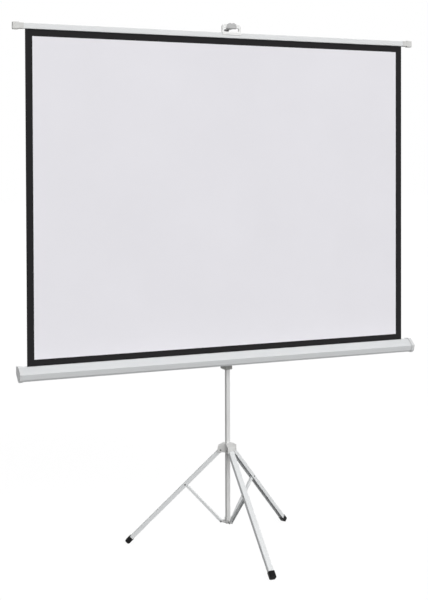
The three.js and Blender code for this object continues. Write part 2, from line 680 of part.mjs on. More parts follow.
/** The left plug in the roller, with the journal that turns in the left end cap. */
function makeIdlerPlug() {
  const plugR = ROLLER_R - ROLLER_WALL - FIT;
  const plug = bar('x', plugR, -ROLLER_HALF, -ROLLER_HALF + PLUG_LEN, 16);
  const flange = bar('x', ROLLER_R, -ROLLER_HALF - FIT - PLUG_FLANGE, -ROLLER_HALF - FIT, 16);
  const journal = bar('x', JOURNAL_R, -CASE_HALF - JOURNAL_IN_CAP + 2 * FIT, -ROLLER_HALF + PAST, 12);
  const neck = bar('x', plugR, -ROLLER_HALF - FIT - PAST, -ROLLER_HALF + PAST, 16);
  return atRoller(plug.add(flange).add(neck).add(journal));
}

/** The right plug in the roller, which turns on the fixed arbor's neck. */
function makeSpringPlug() {
  const plugR = ROLLER_R - ROLLER_WALL - FIT;
  const plug = bar('x', plugR, ROLLER_HALF - PLUG_LEN, ROLLER_HALF + FIT + PAST, 16);
  const flange = bar('x', ROLLER_R, ROLLER_HALF + FIT, ROLLER_HALF + FIT + PLUG_FLANGE, 16);
  const bore = bar('x', JOURNAL_R + FIT, ROLLER_HALF - PLUG_LEN - PAST, ROLLER_HALF + PLUG_LEN, 12);
  return atRoller(plug.add(flange).subtract(bore));
}

/** The fixed arbor: its neck is held in the right end cap, and the spring is wound on its body. */
function makeArbor() {
  const bodyEnd = ROLLER_HALF - PLUG_LEN - ARBOR_GAP;
  const neck = bar('x', JOURNAL_R, bodyEnd - PAST, CASE_HALF + JOURNAL_IN_CAP - 2 * FIT, 12);
  return atRoller(bar('x', ARBOR_R, bodyEnd - ARBOR_LEN, bodyEnd, 16).add(neck));
}

/** The torsion spring, one unbroken wire wound about the arbor. */
function makeSpring() {
  class Coil extends THREE.Curve {
    getPoint(t, target = new THREE.Vector3()) {
      const angle = 2 * Math.PI * SPRING_CURLS * t;
      const along = SPRING_PITCH * SPRING_CURLS * (t - 0.5);
      return target.set(along, SPRING_R * Math.cos(angle), SPRING_R * Math.sin(angle));
    }
  }
  const wire = new THREE.Shape();
  for (let i = 0; i < SPRING_SIDES; i += 1) {
    const angle = (2 * Math.PI * i) / SPRING_SIDES;
    const x = SPRING_WIRE_R * Math.cos(angle);
    const y = SPRING_WIRE_R * Math.sin(angle);
    if (i === 0) wire.moveTo(x, y);
    else wire.lineTo(x, y);
  }
  const coil = new Coil();
  const steps = SPRING_CURLS * SPRING_STEPS;
  const points = coil.getPoints(steps);
  let gap = Infinity;
  for (let i = 0; i < points.length; i += 1) {
    for (let j = i + SPRING_STEPS / 2; j < points.length; j += 1) {
      gap = Math.min(gap, points[i].distanceTo(points[j]) - 2 * SPRING_WIRE_R);
    }
  }
  console.log(`torsion spring: least gap between curls ${gap.toFixed(2)} mm`);
  const geometry = new THREE.ExtrudeGeometry(wire, { steps, extrudePath: coil, bevelEnabled: false });
  const middle = ROLLER_HALF - PLUG_LEN - ARBOR_GAP - ARBOR_LEN / 2;
  return atRoller(solid(geometry).translate([middle, 0, 0]));
}

const HAT_FACE_Y = CASE_BACK_Y + FIT + HAT_RISE + HAT_T;
const BOSS_FRONT_Y = HAT_FACE_Y + FIT;

/** The carriage: a deep block that slides on the mast, with the boss that the case swivels on. */
function makeCarriage() {
  const plan = roundedRect(CARRIAGE_W, CARRIAGE_D, CARRIAGE_CORNER, -CARRIAGE_W / 2, CARRIAGE_FRONT_Y);
  const body = extrudeZ(plan, CARRIAGE_BOTTOM_Z, CARRIAGE_TOP_Z, 4);
  const boss = bar('y', BOSS_R, BOSS_FRONT_Y, -TUBE_W / 2 - PAST, 20).translate([0, 0, SWIVEL_Z]);
  const boltHole = bar('y', BOLT_R + FIT, BOSS_FRONT_Y - PAST, BOSS_FRONT_Y + BOLT_IN_BOSS + FIT, 16);
  const seat = bar('y', KNOB_STEM_R + FIT, CARRIAGE_BACK_Y - KNOB_SEAT, CARRIAGE_BACK_Y + PAST, 16);
  return body.add(boss)
    .subtract(boltHole.translate([0, 0, SWIVEL_Z]))
    .subtract(seat.translate([0, 0, LOCK_Z]))
    .subtract(squareBore(TUBE_W, SLIDE_FIT, CARRIAGE_BOTTOM_Z - PAST, CARRIAGE_TOP_Z + PAST));
}

/** The hat-shaped bracket on the back of the case, with the heads of the rivets that hold it there. */
function makeHatBracket() {
  const back = CASE_BACK_Y + FIT;
  const low = SWIVEL_Z - HAT_H / 2;
  const half = HAT_W / 2;
  const crown = HAT_TOP_W / 2;
  const hat = new THREE.Shape();
  const profile = [
    [-half, 0], [-crown, 0], [-crown, HAT_RISE], [crown, HAT_RISE], [crown, 0], [half, 0],
    [half, HAT_T], [crown + HAT_T, HAT_T], [crown + HAT_T, HAT_RISE + HAT_T],
    [-crown - HAT_T, HAT_RISE + HAT_T], [-crown - HAT_T, HAT_T], [-half, HAT_T],
  ];
  profile.forEach(([x, rise], i) => (i === 0 ? hat.moveTo(x, back + rise) : hat.lineTo(x, back + rise)));
  const hole = bar('y', BOLT_R + FIT, back - PAST, HAT_FACE_Y + PAST, 16).translate([0, 0, SWIVEL_Z]);
  const flange = back + HAT_T;
  const headTop = flange + RIVET_HEAD_H;
  const headRim = flange + RIVET_HEAD_H * RIVET_RIM;
  const head = turned([
    [0, back + FIT], [RIVET_HEAD_R, back + FIT], [RIVET_HEAD_R, headRim],
    [RIVET_HEAD_R * RIVET_FLAT, headTop], [0, headTop],
  ], PIN_SIDES);
  const rivetX = (crown + HAT_T + half) / 2;
  let bracket = extrudeZ(hat, low, low + HAT_H).subtract(hole);
  for (const x of [-rivetX, rivetX]) {
    for (const rise of [-HAT_RIVET_RISE, HAT_RIVET_RISE]) {
      bracket = bracket.add(head.translate([x, 0, SWIVEL_Z + rise]));
    }
  }
  return bracket;
}

/** The bolt that joins the hat bracket to the carriage's boss. */
function makeSwivelBolt() {
  const headBack = HAT_FACE_Y - HAT_T - FIT;
  const head = bar('y', BOLT_HEAD_R, headBack - BOLT_HEAD_H, headBack, 6);
  const shank = bar('y', BOLT_R, headBack - PAST, BOSS_FRONT_Y + BOLT_IN_BOSS - FIT, 16);
  return head.add(shank).translate([0, 0, SWIVEL_Z]);
}

/** The fabric, from the roller up to its hem in the slat. */
function makeFabric() {
  const half = FABRIC_W / 2;
  const front = FABRIC_Y - FABRIC_T / 2;
  return block(-half, half, front, front + FABRIC_T, ROLLER_Z, SLAT_BOTTOM_Z + HEM_IN_SLAT);
}

const HEM_ROD_Z = SLAT_BOTTOM_Z + HEM_IN_SLAT + FIT + HEM_ROD_R;

/** The section of the slat, grown by a distance. */
function slatSection(grow, radius) {
  const low = SLAT_BOTTOM_Z - grow;
  return roundedRect(SLAT_D + 2 * grow, SLAT_H + 2 * grow, radius, FABRIC_Y - SLAT_D / 2 - grow, low);
}

/** The slat: a hollow bar with a slot below for the fabric's hem. */
function makeSlat() {
  const end = SLAT_HALF + PAST;
  const front = FABRIC_Y - SLAT_SLOT / 2;
  const slot = block(-end, end, front, front + SLAT_SLOT, SLAT_BOTTOM_Z - PAST, SLAT_BOTTOM_Z + SLAT_H / 2);
  return extrudeX(slatSection(0, SLAT_CORNER), -SLAT_HALF, SLAT_HALF, 3)
    .subtract(extrudeX(slatSection(-SLAT_WALL, SLAT_CORNER - SLAT_WALL), -end, end, 1))
    .subtract(slot);
}

/** An end cap on the slat: a rounded head with a thin sleeve over the bar. */
function makeSlatCap(side) {
  const low = (SLAT_BOTTOM_Z + SLAT_TOP_Z - SLAT_CAP_H) / 2;
  const sleeveFrom = SLAT_HALF - SLAT_CAP_SLEEVE;
  const headFrom = SLAT_CAP_HALF - SLAT_CAP_HEAD;
  const headEnd = roundedRect(SLAT_CAP_D, SLAT_CAP_H, SLAT_CAP_ROUND, FABRIC_Y - SLAT_CAP_D / 2, low);
  const headFront = roundedRect(SLAT_CAP_HEAD, SLAT_CAP_H, SLAT_CAP_ROUND, -SLAT_CAP_HALF, low);
  const headBack = FABRIC_Y + SLAT_CAP_D;
  const head = extrudeX(headEnd, headFrom, SLAT_CAP_HALF, 4)
    .intersect(extrudeY(headFront, headBack - 2 * SLAT_CAP_D, headBack, 4));
  const sleeveTo = headFrom + SLAT_CAP_HEAD / 2;
  const sleeve = extrudeX(slatSection(SLAT_CAP_SKIN, SLAT_CORNER + SLAT_CAP_SKIN), sleeveFrom, sleeveTo, 3);
  const pocket = extrudeX(slatSection(FIT, SLAT_CORNER), sleeveFrom - PAST, SLAT_HALF + FIT, 2);
  const cap = head.add(sleeve).subtract(pocket);
  return side < 0 ? cap.mirror([1, 0, 0]) : cap;
}

/** The pull handle: a gabled bail on a saddle over the slat. */
function makeHandle() {
  const half = HANDLE_W / 2;
  const end = half + PAST;
  const low = SLAT_TOP_Z - 2 * HANDLE_ROUND;
  const shoulder = SLAT_TOP_Z + HANDLE_SHOULDER;
  const bail = roundedOutline([
    new THREE.Vector2(-half, low), new THREE.Vector2(half, low), new THREE.Vector2(half, shoulder),
    new THREE.Vector2(0, SLAT_TOP_Z + HANDLE_PEAK), new THREE.Vector2(-half, shoulder),
  ], 0, HANDLE_ROUND);
  const gapLow = SLAT_TOP_Z + SADDLE_T + HANDLE_FOOT - FIT;
  const gapW = HANDLE_W - 2 * HANDLE_SIDE;
  const gap = roundedRect(gapW, BAR_BOTTOM_Z - gapLow, HANDLE_GAP_ROUND, -gapW / 2, gapLow);
  const front = FABRIC_Y - HANDLE_D / 2;
  const saddleD = SLAT_D + 2 * FIT + 2 * SADDLE_T;
  const saddleLow = SLAT_TOP_Z - SADDLE_DROP;
  const saddleH = SADDLE_DROP + SADDLE_T + FIT;
  const saddle = roundedRect(saddleD, saddleH, SADDLE_ROUND, FABRIC_Y - saddleD / 2, saddleLow);
  return extrudeY(bail, front, front + HANDLE_D, 6)
    .subtract(extrudeY(gap, front - PAST, front + HANDLE_D + PAST, 4))
    .add(extrudeX(saddle, -half, half, 3))
    .subtract(extrudeX(slatSection(FIT, SLAT_CORNER), -end, end, 2));
}

/** The mast's hook: a socket on the top tube, an arm under the handle's bar, and a domed lip. */
function makeHook() {
  const lipBack = FABRIC_Y - HANDLE_D / 2 - FIT;
  const lipFront = lipBack - HOOK_T;
  const armLow = HOOK_ARM_TOP_Z - HOOK_T;
  const lipTop = armLow + HOOK_T + HOOK_LIP_UP;
  const half = HOOK_SOCKET_W / 2;
  const plan = roundedRect(HOOK_SOCKET_W, HOOK_SOCKET_W, HOOK_SOCKET_WALL);
  const socket = extrudeZ(plan, HOOK_SOCKET_Z, HOOK_ARM_TOP_Z)
    .subtract(squareBore(TOP_W, FIT, HOOK_SOCKET_Z - PAST, HOOK_ARM_TOP_Z - HOOK_SOCKET_ROOF));
  const arm = block(-HOOK_ARM_W / 2, HOOK_ARM_W / 2, lipBack - PAST, -half + PAST, armLow, HOOK_ARM_TOP_Z);
  const bend = new THREE.Shape();
  bend.moveTo(lipBack + HANDLE_D, armLow);
  bend.lineTo(lipBack + HANDLE_D, HOOK_ARM_TOP_Z);
  bend.lineTo(lipBack, HOOK_ARM_TOP_Z);
  bend.lineTo(lipBack, lipTop);
  bend.lineTo(lipFront, lipTop);
  bend.lineTo(lipFront, armLow + HOOK_ROUND);
  bend.absarc(lipFront + HOOK_ROUND, armLow + HOOK_ROUND, HOOK_ROUND, Math.PI, 1.5 * Math.PI);
  const dome = roundedRect(HOOK_W, lipTop - armLow + HOOK_DOME, HOOK_DOME, -HOOK_W / 2, armLow - HOOK_DOME);
  const reach = 2 * FABRIC_AHEAD;
  const notch = bar('y', HOOK_NOTCH_R, -reach, reach, 16)
    .translate([0, 0, lipTop + HOOK_NOTCH_R - HOOK_NOTCH_DEPTH]);
  const lip = extrudeX(bend, -HOOK_W / 2, HOOK_W / 2, 4)
    .intersect(extrudeY(dome, -reach, reach, 6))
    .subtract(notch);
  return socket.add(arm).add(lip);
}

// Assembly
const screen = new THREE.Group();
const stand = new THREE.Group();
const upper = new THREE.Group();
stand.position.set(MAST_X, 0, 0);
screen.add(stand, upper);

piece(stand, 'mast_outer_tube', squareTube(TUBE_W, TUBE_BOTTOM_Z, OUTER_TOP_Z), PAINTED_STEEL);
piece(stand, 'foot_bracket', makeFootBracket(), PALE_PLASTIC);
piece(stand, 'outer_collar', makeCollar(TUBE_W, MID_W, OUTER_COLLAR_Z), GREY_PLASTIC);
piece(stand, 'outer_lock_knob', makeKnob(COLLAR_W / 2, OUTER_COLLAR_Z + COLLAR_H / 2), BLACK_PLASTIC);
piece(stand, 'hub', makeHub(), PALE_PLASTIC);

for (const [name, azimuth] of Object.entries(LEG_AZIMUTHS)) {
  const side = new THREE.Group();
  side.rotation.z = THREE.MathUtils.degToRad(azimuth);
  stand.add(side);
  const midR = PIVOT_R + STRUT_LEN * sin;
  const midZ = FOOT_PIVOT_Z + STRUT_LEN * cos;
  const hubGrip = LEG_W + 2 * SLIDE_FIT + 2 * HUB_CHEEK;
  piece(side, `leg_${name}`, makeLeg(), PAINTED_STEEL);
  piece(side, `strut_${name}`, makeStrut(), PAINTED_STEEL);
  piece(side, `foot_cap_${name}`, makeFoot(), BLACK_RUBBER);
  piece(side, `hub_pin_${name}`, rivet(hubGrip).translate([PIVOT_R, 0, HUB_PIVOT_Z]), DARK_STEEL);
  piece(side, `leg_pin_${name}`, rivet(LEG_W).translate([midR, 0, midZ]), DARK_STEEL);
  piece(side, `strut_pin_${name}`, rivet(STRUT_W).translate([PIVOT_R, 0, FOOT_PIVOT_Z]), DARK_STEEL);
}

piece(stand, 'carriage', makeCarriage(), PALE_PLASTIC);
piece(stand, 'carriage_lock_knob', makeKnob(CARRIAGE_BACK_Y, LOCK_Z), BLACK_PLASTIC);
piece(stand, 'case_bracket', makeHatBracket(), PAINTED_STEEL);
piece(stand, 'swivel_bolt', makeSwivelBolt(), BARE_STEEL);

piece(stand, 'mast_middle_tube', squareTube(MID_W, MID_BOTTOM_Z, MID_TOP_Z), PAINTED_STEEL);
piece(stand, 'middle_guide', makeGuide(MID_W, TUBE_W, MID_BOTTOM_Z), BLACK_PLASTIC);
piece(stand, 'middle_collar', makeCollar(MID_W, TOP_W, MID_COLLAR_Z), GREY_PLASTIC);
piece(stand, 'middle_lock_knob', makeKnob(COLLAR_W / 2, MID_COLLAR_Z + COLLAR_H / 2), BLACK_PLASTIC);
piece(stand, 'mast_top_tube', squareTube(TOP_W, TOP_BOTTOM_Z, TOP_TOP_Z), PAINTED_STEEL);
piece(stand, 'top_guide', makeGuide(TOP_W, MID_W, TOP_BOTTOM_Z), BLACK_PLASTIC);
piece(stand, 'hook', makeHook(), GREY_PLASTIC);
piece(stand, 'pull_handle', makeHandle(), PALE_PLASTIC);

piece(upper, 'case_shell', makeCase(), WHITE_CASE);
piece(upper, 'case_cap_left', makeCaseCap(-1), PALE_PLASTIC);
piece(upper, 'case_cap_right', makeCaseCap(1), PALE_PLASTIC);
piece(upper, 'roller_tube', rollerSleeve(ROLLER_R, ROLLER_R - ROLLER_WALL, ROLLER_HALF), BARE_STEEL);
piece(upper, 'wound_fabric', rollerSleeve(WOUND_R, ROLLER_R + FIT, FABRIC_W / 2), SCREEN_CLOTH);
piece(upper, 'idler_plug', makeIdlerPlug(), BLACK_PLASTIC);
piece(upper, 'spring_plug', makeSpringPlug(), BLACK_PLASTIC);
piece(upper, 'spring_arbor', makeArbor(), BARE_STEEL);
piece(upper, 'torsion_spring', makeSpring(), BARE_STEEL);
piece(upper, 'projection_fabric', makeFabric(), SCREEN_CLOTH);
piece(upper, 'slat', makeSlat(), WHITE_CASE);
piece(upper, 'slat_cap_left', makeSlatCap(-1), PALE_PLASTIC);
piece(upper, 'slat_cap_right', makeSlatCap(1), PALE_PLASTIC);
const hemRod = bar('x', HEM_ROD_R, -FABRIC_W / 2, FABRIC_W / 2, 12).translate([0, FABRIC_Y, HEM_ROD_Z]);
piece(upper, 'hem_rod', hemRod, BARE_STEEL);

// The origin is the middle of the footprint
const footprint = new THREE.Box3().setFromObject(screen, true).getCenter(new THREE.Vector3());
screen.position.set(-footprint.x, -footprint.y, 0);

export default screen;
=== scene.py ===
"""Looks of a portable tripod projection screen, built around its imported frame."""

import json
import logging
import math
from dataclasses import dataclass
from enum import Enum
from functools import cache

import bmesh
import bpy
from mathutils import Matrix, Vector
from mathutils.geometry import intersect_point_line

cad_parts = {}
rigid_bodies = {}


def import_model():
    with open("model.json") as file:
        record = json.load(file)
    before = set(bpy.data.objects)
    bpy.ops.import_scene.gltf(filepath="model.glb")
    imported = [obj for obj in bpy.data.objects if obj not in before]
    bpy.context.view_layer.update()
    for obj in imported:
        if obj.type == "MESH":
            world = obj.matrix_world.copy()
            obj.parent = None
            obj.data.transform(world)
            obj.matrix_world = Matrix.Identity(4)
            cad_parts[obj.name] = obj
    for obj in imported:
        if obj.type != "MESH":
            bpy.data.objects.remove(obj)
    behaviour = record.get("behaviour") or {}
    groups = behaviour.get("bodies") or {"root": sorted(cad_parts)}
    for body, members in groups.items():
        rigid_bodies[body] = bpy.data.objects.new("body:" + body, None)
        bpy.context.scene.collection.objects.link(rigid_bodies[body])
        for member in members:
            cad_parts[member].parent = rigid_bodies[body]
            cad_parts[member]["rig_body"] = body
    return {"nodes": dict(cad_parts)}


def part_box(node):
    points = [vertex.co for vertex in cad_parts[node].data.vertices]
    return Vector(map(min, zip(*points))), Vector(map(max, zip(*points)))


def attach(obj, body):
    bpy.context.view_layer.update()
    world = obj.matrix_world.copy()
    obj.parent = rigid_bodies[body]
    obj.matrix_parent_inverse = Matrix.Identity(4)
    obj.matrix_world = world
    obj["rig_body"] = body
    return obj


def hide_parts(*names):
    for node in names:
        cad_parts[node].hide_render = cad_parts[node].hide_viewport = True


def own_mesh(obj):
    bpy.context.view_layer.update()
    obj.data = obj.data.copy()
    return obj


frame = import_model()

LOG = logging.getLogger("projection_screen")
MM = 0.001
Rgb = tuple[float, float, float]
Point = tuple[float, float, float]
Span = tuple[float, float]

PHOTO_WIDTH = 428
PHOTO_HEIGHT = 600

# What materials read: ray kinds, the usual middle of a noise, the wave texture's turn per metre.
CAMERA_RAY = "Is Camera Ray"
MIRRORED_RAYS = ["Is Glossy Ray", "Is Transmission Ray"]
NOISE_MIDDLE = (0.3, 0.7)
WAVE_RADIANS = 20.0

# What tells points, faces and edges apart.
FACING = 0.5
MERGE_DISTANCE = 1e-6
TINY_AREA = 1e-12
FLAT_ANGLE = math.radians(0.4)
CREASE_ANGLE = math.radians(32)
FOLD_ANGLE = math.radians(130)

# How edges are rounded: short edges are closed up and the width falls until enough edges are round.
SPLINTERS = (MERGE_DISTANCE, 0.15 * MM)
EDGE_SHARES = (1.0, 0.7, 0.45, 0.25)
ENOUGH_EDGES = 0.8
SPARING_ROUNDS = 6
SPARE_REACH = 1.0 * MM


class Side(Enum):
    """The three sides of the tripod, by the names of their nodes."""

    FRONT = "front"
    RIGHT = "right"
    LEFT = "left"


class End(Enum):
    """The two ends of the case and of the slat."""

    LEFT = "left"
    RIGHT = "right"


class ClothFace(Enum):
    """The printed areas of the projection cloth, by their material index."""

    WHITE = 0
    BORDER = 1
    BACKING = 2


class ShaderKit:
    """Adds and links the nodes of one material."""

    def __init__(self, name: str) -> None:
        """Starts a material that holds a principled shader and its output.

        Args:
            name: The material's name.
        """
        self.material = bpy.data.materials.new(name)
        self.material.use_nodes = True
        self.tree = self.material.node_tree
        self.tree.nodes.clear()
        self.shader = self.node("ShaderNodeBsdfPrincipled")
        output = self.node("ShaderNodeOutputMaterial")
        self.link(self.shader.outputs["BSDF"], output.inputs["Surface"])

    def node(self, kind: str, **inputs: object) -> bpy.types.Node:
        """Adds a node and sets its inputs.

        Args:
            kind: The node's type name.
            inputs: Values by input name, with underscores for spaces.

        Returns:
            The new node.
        """
        made = self.tree.nodes.new(kind)
        for name, value in inputs.items():
            made.inputs[name.replace("_", " ")].default_value = value
        return made

    def link(self, source: bpy.types.NodeSocket, target: bpy.types.NodeSocket) -> None:
        """Links an output socket to an input socket."""
        self.tree.links.new(source, target)

    def set(self, **inputs: object) -> None:
        """Sets constant values on the shader's own sockets, by name with underscores for spaces."""
        for name, value in inputs.items():
            self.shader.inputs[name.replace("_", " ")].default_value = value

    def coords(self, stretch: Point = (1.0, 1.0, 1.0), source: str = "Object") -> bpy.types.NodeSocket:
        """Gives texture coordinates, scaled along each axis.

        Args:
            stretch: The scale along each axis.
            source: The coordinate output, Object or UV.

        Returns:
            The scaled vector's socket.
        """
        place = self.node("ShaderNodeTexCoord")
        mapping = self.node("ShaderNodeMapping", Scale=stretch)
        self.link(place.outputs[source], mapping.inputs["Vector"])
        return mapping.outputs["Vector"]

    def noise(self, vector: bpy.types.NodeSocket, scale: float, detail: float = 3.0) -> bpy.types.NodeSocket:
        """Gives a noise value.

        Args:
            vector: The coordinates to read.
            scale: Waves per metre.
            detail: Octaves of finer noise.

        Returns:
            The socket of the noise value.
        """
        made = self.node("ShaderNodeTexNoise", Scale=scale, Detail=detail)
        self.link(vector, made.inputs["Vector"])
        return made.outputs["Fac"]

    def spread(self, value: bpy.types.NodeSocket, low: float, high: float) -> bpy.types.NodeSocket:
        """Maps the middle of a noise value's span to a span of its own.

        Args:
            value: The noise value.
            low: The value at the low side.
            high: The value at the high side.

        Returns:
            The mapped value's socket.
        """
        start, end = NOISE_MIDDLE
        made = self.node("ShaderNodeMapRange", From_Min=start, From_Max=end, To_Min=low, To_Max=high)
        self.link(value, made.inputs["Value"])
        return made.outputs["Result"]

    def product(self, first: bpy.types.NodeSocket, second: bpy.types.NodeSocket) -> bpy.types.NodeSocket:
        """Gives the product of two values."""
        made = self.node("ShaderNodeMath")
        made.operation = "MULTIPLY"
        self.link(first, made.inputs[0])
        self.link(second, made.inputs[1])
        return made.outputs["Value"]

    def tint(self, value: bpy.types.NodeSocket, dark: Rgb, light: Rgb) -> bpy.types.NodeSocket:
        """Mixes two colours by a value.

        Args:
            value: The mixing value.
            dark: The colour at 0.
            light: The colour at 1.

        Returns:
            The mixed colour's socket.
        """
        made = self.tree.nodes.new("ShaderNodeMix")
        made.data_type = "RGBA"
        colours = [s for s in made.inputs if s.type == "RGBA"]
        colours[0].default_value = (*dark, 1.0)
        colours[1].default_value = (*light, 1.0)
        self.link(value, made.inputs["Factor"])
        return next(s for s in made.outputs if s.type == "RGBA")

    def colour(self, socket: bpy.types.NodeSocket) -> None:
        """Drives the shader's colour."""
        self.link(socket, self.shader.inputs["Base Color"])

    def roughness(self, socket: bpy.types.NodeSocket) -> None:
        """Drives the shader's roughness."""
        self.link(socket, self.shader.inputs["Roughness"])

    def bump(self, height: bpy.types.NodeSocket, depth: float, strength: float = 1.0) -> None:
        """Raises the surface by a height value.

        Args:
            height: The height, from 0 to 1.
            depth: The height of the relief in metres.
            strength: The share of the relief that shows.
        """
        made = self.node("ShaderNodeBump", Strength=strength, Distance=depth)
        self.link(height, made.inputs["Height"])
        self.link(made.outputs["Normal"], self.shader.inputs["Normal"])


def shade(colour: Rgb, factor: float) -> Rgb:
    """Gives a colour that is darker or lighter by a factor."""
    return tuple(min(1.0, c * factor) for c in colour)


@dataclass(frozen=True)
class Finish:
    """A surface finish: its name, its slot in the record, its colour and its roughness."""

    name: str
    slot: str
    colour: Rgb
    roughness: float

    @cache
    def material(self) -> bpy.types.Material:
        """Returns the finish's material, which is made once."""
        kit = ShaderKit(self.name)
        self.dress(kit)
        return kit.material

    def dress(self, kit: ShaderKit) -> None:
        """Adds the finish's own nodes.

        Args:
            kit: The material's nodes.
        """
        raise NotImplementedError

    def mottle(self, kit: ShaderKit, scale: float, share: float) -> None:
        """Varies the colour a little over the surface.

        Args:
            kit: The material's nodes.
            scale: Patches per metre.
            share: The share by which the colour darkens in the patches.
        """
        patches = kit.spread(kit.noise(kit.coords(), scale, detail=4.0), 0.0, 1.0)
        kit.colour(kit.tint(patches, shade(self.colour, 1.0 - share), self.colour))

    def vary_roughness(self, kit: ShaderKit, value: bpy.types.NodeSocket, span: Span) -> None:
        """Varies the roughness over the surface.

        Args:
            kit: The material's nodes.
            value: The noise value that it follows.
            span: The least and the most that is added to the roughness.
        """
        kit.roughness(kit.spread(value, self.roughness + span[0], self.roughness + span[1]))


@dataclass(frozen=True)
class PowderCoat(Finish):
    """Satin powder coat on steel, with the fine ripple of baked paint."""

    patch_scale: float = 9.0
    patch_share: float = 0.05
    rub_scale: float = 40.0
    rub_span: Span = (-0.06, 0.08)
    ripple: float = 520.0
    ripple_depth: float = 0.06 * MM
    gloss: float = 0.2

    def dress(self, kit: ShaderKit) -> None:
        """Adds the ripple, the rubbed patches and the gloss."""
        self.mottle(kit, self.patch_scale, self.patch_share)
        self.vary_roughness(kit, kit.noise(kit.coords(), self.rub_scale), self.rub_span)
        kit.bump(kit.noise(kit.coords(), self.ripple, detail=1.0), self.ripple_depth)
        kit.set(Specular_IOR_Level=self.gloss)


@dataclass(frozen=True)
class CoatedExtrusion(Finish):
    """White coat on drawn aluminium, with faint lines along its length."""

    patch_scale: float = 3.0
    patch_share: float = 0.025
    line_stretch: Point = (0.004, 1.0, 1.0)
    line_pitch: float = 900.0
    line_span: Span = (-0.05, 0.07)
    line_depth: float = 0.02 * MM
    coat: float = 0.2
    coat_roughness: float = 0.25

    def dress(self, kit: ShaderKit) -> None:
        """Adds the drawing lines and a satin gloss."""
        self.mottle(kit, self.patch_scale, self.patch_share)
        lines = kit.noise(kit.coords(self.line_stretch), self.line_pitch, detail=2.0)
        self.vary_roughness(kit, lines, self.line_span)
        kit.bump(lines, self.line_depth)
        kit.set(Coat_Weight=self.coat, Coat_Roughness=self.coat_roughness)


@dataclass(frozen=True)
class MouldedPlastic(Finish):
    """Moulded plastic with a fine spark-eroded grain."""

    patch_scale: float = 22.0
    patch_share: float = 0.04
    grain: float = 1400.0
    grain_span: Span = (-0.05, 0.08)
    grain_depth: float = 0.05 * MM
    refraction: float = 1.49

    def dress(self, kit: ShaderKit) -> None:
        """Adds the grain and the faint flow marks."""
        self.mottle(kit, self.patch_scale, self.patch_share)
        grain = kit.noise(kit.coords(), self.grain, detail=2.0)
        self.vary_roughness(kit, grain, self.grain_span)
        kit.bump(grain, self.grain_depth)
        kit.set(IOR=self.refraction)


@dataclass(frozen=True)
class MouldedRubber(Finish):
    """Black rubber that has taken some floor dust."""

    dust: Rgb = (0.04, 0.038, 0.036)
    dust_height: float = 12 * MM
    dust_span: Span = (0.75, 0.1)
    speck_scale: float = 160.0
    grain: float = 900.0
    grain_depth: float = 0.12 * MM
    gloss: float = 0.1

    def dress(self, kit: ShaderKit) -> None:
        """Adds the dust, thickest near the floor, and a dull grain."""
        place = kit.node("ShaderNodeTexCoord")
        parts = kit.node("ShaderNodeSeparateXYZ")
        kit.link(place.outputs["Object"], parts.inputs["Vector"])
        most, least = self.dust_span
        low = kit.node("ShaderNodeMapRange", From_Max=self.dust_height, To_Min=most, To_Max=least)
        kit.link(parts.outputs["Z"], low.inputs["Value"])
        specks = kit.spread(kit.noise(kit.coords(), self.speck_scale, detail=5.0), 0.0, 1.0)
        dusty = kit.product(low.outputs["Result"], specks)
        kit.colour(kit.tint(dusty, self.colour, self.dust))
        kit.bump(kit.noise(kit.coords(), self.grain), self.grain_depth)
        kit.set(Roughness=self.roughness, Specular_IOR_Level=self.gloss)


@dataclass(frozen=True)
class PlatedMetal(Finish):
    """Bare or zinc plated metal with a drawn grain."""

    patch_scale: float = 60.0
    patch_share: float = 0.14
    stretch: Point = (1.0, 1.0, 0.08)
    grain: float = 900.0
    grain_span: Span = (-0.08, 0.1)
    grain_depth: float = 0.02 * MM

    def dress(self, kit: ShaderKit) -> None:
        """Adds the grain, the dull patches and the metal's reflection."""
        self.mottle(kit, self.patch_scale, self.patch_share)
        grain = kit.noise(kit.coords(self.stretch), self.grain)
        self.vary_roughness(kit, grain, self.grain_span)
        kit.bump(grain, self.grain_depth)
        kit.set(Metallic=1.0)


@dataclass(frozen=True)
class ScreenCloth(Finish):
    """Coated woven screen cloth, read on the cloth's own flat coordinates."""

    cloud_scale: float = 2.2
    cloud_shade: float = 0.975
    thread_pitch: float = 0.9 * MM
    thread_depth: float = 0.08 * MM
    thread_share: float = 0.6
    thread_waver: float = 0.4
    sheen: float = 0.12
    sheen_roughness: float = 0.5
    gloss: float = 0.3

    def dress(self, kit: ShaderKit) -> None:
        """Adds the plain weave of warp and weft, slight clouding and a soft sheen."""
        clouds = kit.spread(kit.noise(kit.coords(source="UV"), self.cloud_scale), 0.0, 1.0)
        kit.colour(kit.tint(clouds, shade(self.colour, self.cloud_shade), self.colour))
        weave = kit.product(self.threads(kit, "X"), self.threads(kit, "Y"))
        kit.bump(weave, self.thread_depth, self.thread_share)
        kit.set(Roughness=self.roughness, Specular_IOR_Level=self.gloss)
        kit.set(Sheen_Weight=self.sheen, Sheen_Roughness=self.sheen_roughness)

    def threads(self, kit: ShaderKit, axis: str) -> bpy.types.NodeSocket:
        """Gives the height of the threads that lie across one axis.

        Args:
            kit: The material's nodes.
            axis: X or Y of the cloth.

        Returns:
            The socket of the height.
        """
        scale = 2 * math.pi / (WAVE_RADIANS * self.thread_pitch)
        wave = kit.node("ShaderNodeTexWave", Scale=scale, Distortion=self.thread_waver)
        wave.bands_direction = axis
        kit.link(kit.coords(source="UV"), wave.inputs["Vector"])
        return wave.outputs["Fac"]


